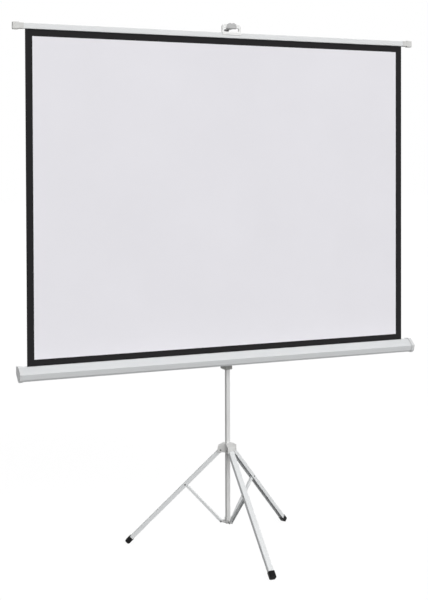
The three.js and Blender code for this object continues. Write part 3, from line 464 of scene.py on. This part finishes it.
MAST_PAINT = PowderCoat("mast_powder_coat", "mast_paint", (0.765, 0.765, 0.76), 0.42)
LEG_PAINT = PowderCoat("leg_powder_coat", "leg_paint", (0.825, 0.84, 0.845), 0.4)
CASE_COAT = CoatedExtrusion("case_white_coat", "case_white", (0.735, 0.752, 0.76), 0.36)
SLAT_COAT = CoatedExtrusion("slat_white_coat", "slat_white", (0.72, 0.735, 0.74), 0.38)
CAP_PLASTIC = MouldedPlastic("cap_white_plastic", "cap_plastic", (0.74, 0.75, 0.755), 0.5)
WHITE_PLASTIC = MouldedPlastic("handle_white_plastic", "white_plastic", (0.88, 0.885, 0.875), 0.45)
SLAT_CAP_PLASTIC = MouldedPlastic("slat_cap_pale_plastic", "white_plastic", (0.68, 0.68, 0.665), 0.5)
HUB_PLASTIC = MouldedPlastic("hub_grey_plastic", "grey_plastic", (0.675, 0.675, 0.665), 0.48)
# Grey plastic made darker by painted shade, which stands for the shade under the case; the collars take the
# same colour.
CARRIAGE_PLASTIC_PAINTED_SHADE = MouldedPlastic("carriage_grey_plastic_painted_shade", "grey_plastic", (0.36, 0.36, 0.345), 0.5)
HOOK_PLASTIC = MouldedPlastic("hook_grey_plastic", "grey_plastic", (0.5, 0.5, 0.5), 0.42)
KNOB_PLASTIC = MouldedPlastic("knob_black_plastic", "black_plastic", (0.025, 0.025, 0.026), 0.45)
FOOT_RUBBER = MouldedRubber("foot_black_rubber", "foot_rubber", (0.008, 0.008, 0.0085), 0.35)
RIVET_STEEL = PlatedMetal("rivet_zinc", "rivet_steel", (0.6, 0.6, 0.59), 0.38)
RIVET_DARK = PlatedMetal("rivet_blackened", "rivet_dark", (0.16, 0.16, 0.16), 0.45)
SPRING_STEEL = PlatedMetal("spring_steel", "rivet_steel", (0.42, 0.42, 0.43), 0.32)
ROLLER_METAL = PlatedMetal(
    "roller_drawn_metal", "roller_aluminium", (0.72, 0.72, 0.73), 0.36, stretch=(0.05, 1.0, 1.0)
)
CLOTH_WHITE = ScreenCloth("screen_white", "screen_fabric", (0.875, 0.864, 0.908), 0.85)
CLOTH_BLACK = ScreenCloth(
    "screen_border_black", "screen_fabric", (0.0185, 0.018, 0.019), 0.75, sheen=0.0, gloss=0.1
)
CLOTH_BACKING = ScreenCloth("screen_backing_black", "screen_fabric", (0.03, 0.03, 0.031), 0.8, sheen=0.05)


def new_piece(name: str, bm: bmesh.types.BMesh, materials: list[bpy.types.Material]) -> bpy.types.Object:
    """Makes an object of a bmesh, smooth across its gentle edges.

    Args:
        name: The piece's name.
        bm: The shape, which is freed.
        materials: The piece's materials in slot order.

    Returns:
        The new object.
    """
    mesh = bpy.data.meshes.new(name)
    bm.to_mesh(mesh)
    bm.free()
    mesh.polygons.foreach_set("use_smooth", [True] * len(mesh.polygons))
    mesh.set_sharp_from_angle(angle=CREASE_ANGLE)
    for material in materials:
        mesh.materials.append(material)
    made = bpy.data.objects.new(name, mesh)
    bpy.context.scene.collection.objects.link(made)
    return made


def body_of_node(node: str) -> str:
    """Gives the body that carries a node."""
    return frame["nodes"][node]["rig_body"]


def round_edges(bm: bmesh.types.BMesh, edges: list[bmesh.types.BMEdge], width: float, segments: int) -> None:
    """Rounds edges of a shape.

    Args:
        bm: The shape.
        edges: The edges to round.
        width: The width of the rounding on each face.
        segments: The number of strips in the rounding.
    """
    bmesh.ops.bevel(
        bm,
        geom=edges,
        offset=width,
        offset_type="OFFSET",
        affect="EDGES",
        segments=segments,
        profile=0.5,
        material=-1,
        clamp_overlap=False,
    )


def folded_faces(bm: bmesh.types.BMesh) -> list[bmesh.types.BMFace]:
    """Gives the faces that overlap themselves."""
    bm.normal_update()
    folded = {}
    for first, second, third in bm.calc_loop_triangles():
        turn = (second.vert.co - first.vert.co).cross(third.vert.co - first.vert.co)
        if turn.dot(first.face.normal) < -TINY_AREA:
            folded[first.face] = True
    return list(folded)


def flat_region(start: bmesh.types.BMFace) -> set[bmesh.types.BMFace]:
    """Gives the joined faces that lie in the plane of a face."""
    region, waiting = {start}, [start]
    while waiting:
        around = {f for e in waiting.pop().edges for f in e.link_faces} - region
        level = [f for f in around if f.normal.angle(start.normal, math.pi) < FLAT_ANGLE]
        region.update(level)
        waiting.extend(level)
    return region


def refill_flats(bm: bmesh.types.BMesh) -> None:
    """Fills the flat regions anew whose faces a rounded hole has pushed over each other.

    Args:
        bm: The shape.
    """
    for start in folded_faces(bm):
        if not start.is_valid:
            continue
        region = flat_region(start)
        normal = start.normal.copy()
        rim = [e for e in bm.edges if sum(f in region for f in e.link_faces) == 1]
        bmesh.ops.delete(bm, geom=[f for f in bm.faces if f in region], context="FACES")
        rim = [e for e in rim if e.is_valid]
        made = bmesh.ops.triangle_fill(bm, use_beauty=True, edges=rim, normal=normal)["geom"]
        turned = [f for f in made if isinstance(f, bmesh.types.BMFace) and f.normal.dot(normal) < 0]
        bmesh.ops.reverse_faces(bm, faces=turned)


def fault_places(bm: bmesh.types.BMesh) -> list[Vector]:
    """Gives the places where a rounded shape is open or folded over."""
    places = [f.calc_center_median() for f in folded_faces(bm)]
    for edge in bm.edges:
        if not edge.is_manifold or edge.calc_face_angle(0.0) > FOLD_ANGLE:
            places += [v.co.copy() for v in edge.verts]
    return places


def lies_near(edge: bmesh.types.BMEdge, places: list[Vector]) -> bool:
    """Tells whether an edge passes close to one of some places."""
    start, end = (v.co for v in edge.verts)
    for place in places:
        nearest, share = intersect_point_line(place, start, end)
        if share < 0 or share > 1:
            nearest = start if share < 0 else end
        if (nearest - place).length < SPARE_REACH:
            return True
    return False


class Axis(Enum):
    """The axis that a moulding's two ends lie on, by its place in a point."""

    Y = 1
    Z = 2


@dataclass(frozen=True)
class SoftRim:
    """A wide rounding round the outside of a moulding's two ends."""

    axis: Axis
    middle: Vector
    width: float
    segments: int = 4

    def soften(self, bm: bmesh.types.BMesh) -> None:
        """Rounds the outlines of both ends.

        Args:
            bm: The moulding's shape.
        """
        along = [v.co[self.axis.value] for v in bm.verts]
        for end in (min(along), max(along)):
            rim = [e for e in bm.edges if self.runs_round(e, end)]
            round_edges(bm, rim, self.width, self.segments)

    def runs_round(self, edge: bmesh.types.BMEdge, end: float) -> bool:
        """Tells whether an edge is part of the outline of an end, and not of a bore.

        Args:
            edge: The edge.
            end: The place of the end on the axis.

        Returns:
            True for an edge of the outline.
        """
        flat = all(abs(v.co[self.axis.value] - end) < MERGE_DISTANCE for v in edge.verts)
        if not flat or edge.calc_face_angle(0.0) < CREASE_ANGLE:
            return False
        wall = min(edge.link_faces, key=lambda f: abs(f.normal[self.axis.value]))
        outward = (edge.verts[0].co + edge.verts[1].co) / 2 - self.middle
        outward[self.axis.value] = 0.0
        return outward.dot(wall.normal) > 0


@dataclass(frozen=True)
class FinishedNode:
    """A node's form with rounded edges and its finish."""

    node: str
    finish: Finish
    edge: float = 0.4 * MM
    segments: int = 2
    rim: SoftRim | None = None

    def build(self) -> None:
        """Copies the node's form, rounds its sharp edges and dresses it in its finish."""
        piece = new_piece(f"{self.node}_finished", self.rounded(), [self.finish.material()])
        weights = piece.modifiers.new("weighted_normals", "WEIGHTED_NORMAL")
        weights.keep_sharp = True
        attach(piece, body_of_node(self.node))
        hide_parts(self.node)
        LOG.info("finished %s", self.node)

    def rounded(self) -> bmesh.types.BMesh:
        """Rounds the node's edges as wide as its small faces let it.

        Returns:
            The form with most of its edges rounded, or the bare form.
        """
        best, most = self.bare_form(MERGE_DISTANCE), 0.0
        for share in EDGE_SHARES:
            for splinter in SPLINTERS:
                bm, part = self.sparing_form(share * self.edge, splinter)
                if part > most:
                    best, bm, most = bm, best, part
                bm.free()
                if most > ENOUGH_EDGES:
                    return best
        return best

    def sparing_form(self, width: float, splinter: float) -> tuple[bmesh.types.BMesh, float]:
        """Rounds the node's edges, and spares those that would fold over.

        Args:
            width: The width of the rounding.
            splinter: The length under which an edge is closed up first.

        Returns:
            The form, and the share of its edges' length that is rounded.
        """
        spared: list[Vector] = []
        for _ in range(SPARING_ROUNDS):
            bm = self.bare_form(splinter)
            if self.rim:
                self.rim.soften(bm)
            sharp = [e for e in bm.edges if e.is_manifold and e.calc_face_angle(0.0) > CREASE_ANGLE]
            free = [e for e in sharp if not lies_near(e, spared)]
            part = sum(e.calc_length() for e in free) / sum(e.calc_length() for e in sharp)
            round_edges(bm, free, width, self.segments)
            refill_flats(bm)
            faults = fault_places(bm)
            if not faults:
                return bm, part
            spared += faults
            bm.free()
        return self.bare_form(splinter), 0.0

    def bare_form(self, splinter: float) -> bmesh.types.BMesh:
        """Copies the node's form, with whole flat faces and no edge shorter than a splinter."""
        bm = bmesh.new()
        bm.from_mesh(frame["nodes"][self.node].data)
        bmesh.ops.remove_doubles(bm, verts=bm.verts, dist=splinter)
        bmesh.ops.dissolve_limit(bm, angle_limit=FLAT_ANGLE, verts=bm.verts, edges=bm.edges)
        return bm


def dress_node(node: str, finish: Finish) -> None:
    """Gives a hidden node its finish and leaves its form as it is.

    Args:
        node: The node's name.
        finish: Its finish.
    """
    mesh = frame["nodes"][node].data
    mesh.materials.clear()
    mesh.materials.append(finish.material())
    LOG.info("dressed %s", node)


@dataclass
class ProjectionCloth:
    """The stretched cloth between the case and the slat, with its printed border and black back."""

    side_border: float = 35 * MM
    top_border: float = 33 * MM
    bottom_border: float = 29 * MM
    pull_joint: str = "screen_pull"

    def __post_init__(self) -> None:
        """Reads the cloth's space and the edges that it is seen between."""
        self.low, self.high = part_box("projection_fabric")
        self.white_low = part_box("case_shell")[1].z + self.bottom_border
        self.white_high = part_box("slat")[0].z - self.top_border
        self.white_half = self.high.x - self.side_border

    def build(self) -> None:
        """Makes the picture, which runs into the case, and the upper border, which goes with the slat."""
        picture = self.make_piece("stretched_cloth", self.low.z, self.white_high)
        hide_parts("projection_fabric")
        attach(picture, "case_carriage")
        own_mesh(picture)
        border = self.make_piece("upper_border_cloth", self.white_high, self.high.z)
        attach(border, "top_slat")

    def make_piece(self, name: str, low: float, high: float) -> bpy.types.Object:
        """Makes the cloth between two heights, cut along the edges of its print.

        Args:
            name: The piece's name.
            low: The lower edge.
            high: The upper edge.

        Returns:
            The cloth's piece.
        """
        bm = bmesh.new()
        corners = [(self.low.x, low), (self.high.x, low), (self.high.x, high), (self.low.x, high)]
        bm.faces.new([bm.verts.new((x, self.high.y, z)) for x, z in corners])
        for x in (-self.white_half, self.white_half):
            self.cut(bm, (x, 0, 0), (1, 0, 0))
        self.cut(bm, (0, 0, self.white_low), (0, 0, 1))
        bmesh.ops.recalc_face_normals(bm, faces=bm.faces)
        bm.faces.ensure_lookup_table()
        if bm.faces[0].normal.y > 0:
            bmesh.ops.reverse_faces(bm, faces=bm.faces)
        bmesh.ops.solidify(bm, geom=bm.faces[:], thickness=self.high.y - self.low.y)
        self.lay_flat(bm)
        cloth = new_piece(name, bm, [f.material() for f in (CLOTH_WHITE, CLOTH_BLACK, CLOTH_BACKING)])
        return cloth

    def cut(self, bm: bmesh.types.BMesh, place: Point, normal: Point) -> None:
        """Cuts the whole cloth along a plane.

        Args:
            bm: The cloth's shape.
            place: A point of the plane.
            normal: The plane's normal.
        """
        geom = bm.verts[:] + bm.edges[:] + bm.faces[:]
        bmesh.ops.bisect_plane(bm, geom=geom, plane_co=place, plane_no=normal)

    def lay_flat(self, bm: bmesh.types.BMesh) -> None:
        """Gives each face its print and its flat coordinates in metres.

        Args:
            bm: The cloth's shape.
        """
        flat = bm.loops.layers.uv.new("flat")
        for face in bm.faces:
            middle = face.calc_center_median()
            inside = abs(middle.x) < self.white_half and self.white_low < middle.z < self.white_high
            if face.normal.y > -FACING:
                printed = ClothFace.BACKING
            else:
                printed = ClothFace.WHITE if inside else ClothFace.BORDER
            face.material_index = printed.value
            for loop in face.loops:
                loop[flat].uv = (loop.vert.co.x - self.low.x, loop.vert.co.z - self.low.z)


@dataclass
class RollerCase:
    """The long case, its end caps and what turns inside it."""

    edge: float = 0.7 * MM
    turns: float = 2.6
    steps_per_turn: int = 40
    cloth_thickness: float = 0.45 * MM

    def build(self) -> None:
        """Finishes the case, dresses its inner pieces and winds the spare cloth."""
        FinishedNode("case_shell", CASE_COAT, self.edge).build()
        for end in End:
            FinishedNode(f"case_cap_{end.value}", CAP_PLASTIC, self.edge, 3).build()
        dress_node("roller_tube", ROLLER_METAL)
        dress_node("idler_plug", HUB_PLASTIC)
        dress_node("spring_plug", HUB_PLASTIC)
        dress_node("spring_arbor", RIVET_STEEL)
        dress_node("torsion_spring", SPRING_STEEL)
        self.wind_cloth()

    def wind_cloth(self) -> None:
        """Winds the unused cloth on the roller as one spiral."""
        low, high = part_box("wound_fabric")
        tube_low, tube_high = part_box("roller_tube")
        axis = (low + high) / 2
        inner = (tube_high.y - tube_low.y) / 2 + self.cloth_thickness
        outer = (high.y - low.y) / 2
        count = round(self.turns * self.steps_per_turn)
        bm = bmesh.new()
        verts = []
        for step in range(count + 1):
            share = step / count
            angle = 2 * math.pi * self.turns * share
            radius = inner + (outer - inner - self.cloth_thickness / 2) * share
            offset = Vector((0, math.cos(angle) * radius, math.sin(angle) * radius))
            verts.append(bm.verts.new(Vector((low.x, axis.y, axis.z)) + offset))
        edges = [bm.edges.new(pair) for pair in zip(verts, verts[1:])]
        made = bmesh.ops.extrude_edge_only(bm, edges=edges)["geom"]
        moved = [g for g in made if isinstance(g, bmesh.types.BMVert)]
        bmesh.ops.translate(bm, verts=moved, vec=(high.x - low.x, 0, 0))
        self.unroll(bm, low.x, axis)
        wound = new_piece("wound_cloth", bm, [CLOTH_BACKING.material()])
        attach(wound, body_of_node("wound_fabric"))
        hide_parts("wound_fabric")

    def unroll(self, bm: bmesh.types.BMesh, start: float, axis: Vector) -> None:
        """Gives the wound cloth flat coordinates in metres.

        Args:
            bm: The wound cloth's shape.
            start: The left edge.
            axis: A point of the roller's axis.
        """
        flat = bm.loops.layers.uv.new("flat")
        for face in bm.faces:
            for loop in face.loops:
                out = loop.vert.co - axis
                along = math.atan2(out.z, out.y) * Vector((out.y, out.z)).length
                loop[flat].uv = (loop.vert.co.x - start, along)


@dataclass
class TopSlat:
    """The slat that carries the cloth's upper edge, with its end caps and its pull handle."""

    edge: float = 0.5 * MM

    def build(self) -> None:
        """Finishes the slat, its caps and its handle."""
        FinishedNode("slat", SLAT_COAT, self.edge).build()
        FinishedNode("pull_handle", WHITE_PLASTIC, self.edge, 3).build()
        for end in End:
            FinishedNode(f"slat_cap_{end.value}", SLAT_CAP_PLASTIC, self.edge, 3).build()
        dress_node("hem_rod", RIVET_STEEL)


@dataclass
class Mast:
    """The telescoping mast with its collars, lock knobs, carriage and hook."""

    edge: float = 0.4 * MM
    collar_round: float = 2.5 * MM
    knob_round: float = 1.8 * MM

    def build(self) -> None:
        """Finishes the tubes, the moulded collars and the hook."""
        collar_rim = SoftRim(Axis.Z, self.middle("mast_outer_tube"), self.collar_round)
        for tube in ("mast_outer_tube", "mast_middle_tube", "mast_top_tube", "case_bracket"):
            FinishedNode(tube, MAST_PAINT, self.edge).build()
        for moulding in ("outer_collar", "middle_collar", "carriage"):
            # The carriage and the collars get the grey plastic that holds painted shade.
            FinishedNode(moulding, CARRIAGE_PLASTIC_PAINTED_SHADE, self.edge, rim=collar_rim).build()
        for knob in ("outer_lock_knob", "middle_lock_knob", "carriage_lock_knob"):
            knob_rim = SoftRim(Axis.Y, self.middle(knob), self.knob_round)
            FinishedNode(knob, KNOB_PLASTIC, self.edge, rim=knob_rim).build()
        FinishedNode("hook", HOOK_PLASTIC, self.edge, 3).build()
        FinishedNode("swivel_bolt", RIVET_STEEL, self.edge).build()
        dress_node("middle_guide", HUB_PLASTIC)
        dress_node("top_guide", HUB_PLASTIC)

    def middle(self, node: str) -> Vector:
        """Gives the middle of a node's box."""
        low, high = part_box(node)
        return (low + high) / 2


@dataclass
class Tripod:
    """The folding legs with their struts, rivets, feet, sliding hub and foot bracket."""

    edge: float = 0.35 * MM
    soft_edge: float = 0.8 * MM

    def build(self) -> None:
        """Finishes the hub, the bracket and the three sides."""
        FinishedNode("hub", HUB_PLASTIC, self.soft_edge, 3).build()
        FinishedNode("foot_bracket", MAST_PAINT, self.edge).build()
        for side in Side:
            self.build_side(side.value)

    def build_side(self, side: str) -> None:
        """Finishes one leg, its strut, its foot cap and their rivets.

        Args:
            side: The side's name.
        """
        FinishedNode(f"leg_{side}", LEG_PAINT, self.edge).build()
        FinishedNode(f"strut_{side}", LEG_PAINT, self.edge).build()
        FinishedNode(f"foot_cap_{side}", FOOT_RUBBER, self.soft_edge, 3).build()
        for rivet in ("hub_pin", "leg_pin", "strut_pin"):
            FinishedNode(f"{rivet}_{side}", RIVET_DARK, self.edge).build()


@dataclass
class Studio:
    """The floor, the white background, the soft light and the photograph's camera."""

    focal_pixels: float = 1138.12
    centre_pixels: tuple[float, float] = (222.65, 190.57)
    camera_place: Point = (-2.336, -5.2082, 1.9488)
    yaw: float = 23.6586
    pitch: float = 1.12
    roll: float = -0.1834
    sensor: float = 36.0
    floor_half: float = 60.0
    floor_colour: Rgb = (0.16, 0.16, 0.16)
    floor_glow: float = 0.9
    ambient: float = 0.5
    key_share: float = 0.72
    key_from: Point = (0.15, -0.952, 0.26)
    fill_share: float = 0.3
    fill_from: Point = (0.62, 0.77, 0.1)
    lamp_spread: float = 60.0

    def build(self) -> None:
        """Makes the camera, the floor and the light."""
        self.make_camera()
        self.make_floor()
        self.make_world()
        self.make_lamp("key_light", self.key_share, self.key_from)
        self.make_lamp("fill_light", self.fill_share, self.fill_from)
        bpy.context.scene.view_settings.view_transform = "Standard"

    def make_camera(self) -> None:
        """Puts the camera at the photograph's place, with the photograph's framing."""
        data = bpy.data.cameras.new("photo_camera")
        data.sensor_width = self.sensor
        data.lens = self.focal_pixels / PHOTO_HEIGHT * self.sensor
        data.shift_x = (PHOTO_WIDTH / 2 - self.centre_pixels[0]) / PHOTO_HEIGHT
        data.shift_y = (self.centre_pixels[1] - PHOTO_HEIGHT / 2) / PHOTO_HEIGHT
        data.clip_end = 4 * self.floor_half
        camera = bpy.data.objects.new("photo_camera", data)
        camera.location = self.camera_place
        turn = self.turned(-self.yaw, "Z") @ self.turned(90 - self.pitch, "X") @ self.turned(self.roll, "Z")
        camera.rotation_euler = turn.to_euler()
        bpy.context.scene.collection.objects.link(camera)
        bpy.context.scene.camera = camera

    def turned(self, degrees: float, axis: str) -> Matrix:
        """Gives a turn about an axis as a matrix."""
        return Matrix.Rotation(math.radians(degrees), 3, axis)

    def make_floor(self) -> None:
        """Lays a pale floor that reads as white, keeps the object's shadow and hides no folded foot."""
        bm = bmesh.new()
        bmesh.ops.create_grid(bm, x_segments=1, y_segments=1, size=self.floor_half)
        mesh = bpy.data.meshes.new("studio_floor")
        bm.to_mesh(mesh)
        bm.free()
        material = bpy.data.materials.new("studio_floor")
        material.use_nodes = True
        tree = material.node_tree
        tree.nodes.clear()
        output = tree.nodes.new("ShaderNodeOutputMaterial")
        diffuse = tree.nodes.new("ShaderNodeBsdfDiffuse")
        diffuse.inputs["Color"].default_value = (*self.floor_colour, 1.0)
        clear = tree.nodes.new("ShaderNodeBsdfTransparent")
        tree.links.new(self.met_by(tree, [CAMERA_RAY], self.floor_glow), clear.inputs["Color"])
        glow = tree.nodes.new("ShaderNodeEmission")
        tree.links.new(self.met_by(tree, MIRRORED_RAYS, self.floor_glow), glow.inputs["Strength"])
        surface = diffuse.outputs["BSDF"]
        for layer in (clear.outputs["BSDF"], glow.outputs["Emission"]):
            both = tree.nodes.new("ShaderNodeAddShader")
            tree.links.new(surface, both.inputs[0])
            tree.links.new(layer, both.inputs[1])
            surface = both.outputs["Shader"]
        tree.links.new(surface, output.inputs["Surface"])
        mesh.materials.append(material)
        floor = bpy.data.objects.new("studio_floor", mesh)
        bpy.context.scene.collection.objects.link(floor)

    def met_by(self, tree: bpy.types.NodeTree, rays: list[str], strength: float) -> bpy.types.NodeSocket:
        """Gives a strength that only some kinds of ray meet.

        Args:
            tree: The node tree to add to.
            rays: The kinds of ray, as the light path node names them.
            strength: The strength for those rays.

        Returns:
            The socket of the strength.
        """
        path = tree.nodes.new("ShaderNodeLightPath")
        total = path.outputs[rays[0]]
        for name in rays[1:]:
            join = tree.nodes.new("ShaderNodeMath")
            join.operation = "MAXIMUM"
            tree.links.new(total, join.inputs[0])
            tree.links.new(path.outputs[name], join.inputs[1])
            total = join.outputs["Value"]
        scaled = tree.nodes.new("ShaderNodeMath")
        scaled.operation = "MULTIPLY"
        scaled.inputs[1].default_value = strength
        tree.links.new(total, scaled.inputs[0])
        return scaled.outputs["Value"]

    def make_world(self) -> None:
        """Lights the scene evenly from all round and shows white to the camera."""
        world = bpy.data.worlds.new("studio_world")
        bpy.context.scene.world = world
        world.use_nodes = True
        tree = world.node_tree
        tree.nodes.clear()
        output = tree.nodes.new("ShaderNodeOutputWorld")
        background = tree.nodes.new("ShaderNodeBackground")
        background.inputs["Color"].default_value = (1.0, 1.0, 1.0, 1.0)
        lift = tree.nodes.new("ShaderNodeMath")
        lift.operation = "ADD"
        lift.inputs[1].default_value = self.ambient
        seen = self.met_by(tree, [CAMERA_RAY, *MIRRORED_RAYS], 1.0 - self.ambient)
        tree.links.new(seen, lift.inputs[0])
        tree.links.new(lift.outputs["Value"], background.inputs["Strength"])
        tree.links.new(background.outputs["Background"], output.inputs["Surface"])

    def make_lamp(self, name: str, share: float, place: Point) -> None:
        """Adds a soft distant light.

        Args:
            name: The light's name.
            share: The share of full light that it gives a surface that faces it.
            place: The direction that it comes from.
        """
        data = bpy.data.lights.new(name, "SUN")
        data.energy = share * math.pi
        data.angle = math.radians(self.lamp_spread)
        lamp = bpy.data.objects.new(name, data)
        lamp.rotation_euler = Vector(place).to_track_quat("Z", "Y").to_euler()
        bpy.context.scene.collection.objects.link(lamp)


def main() -> None:
    """Builds the sub-assemblies in order."""
    logging.basicConfig(level=logging.INFO)
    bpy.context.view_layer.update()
    Studio().build()
    for assembly in (RollerCase(), TopSlat(), Mast(), Tripod(), ProjectionCloth()):
        assembly.build()


if __name__ == "__main__":
    main()
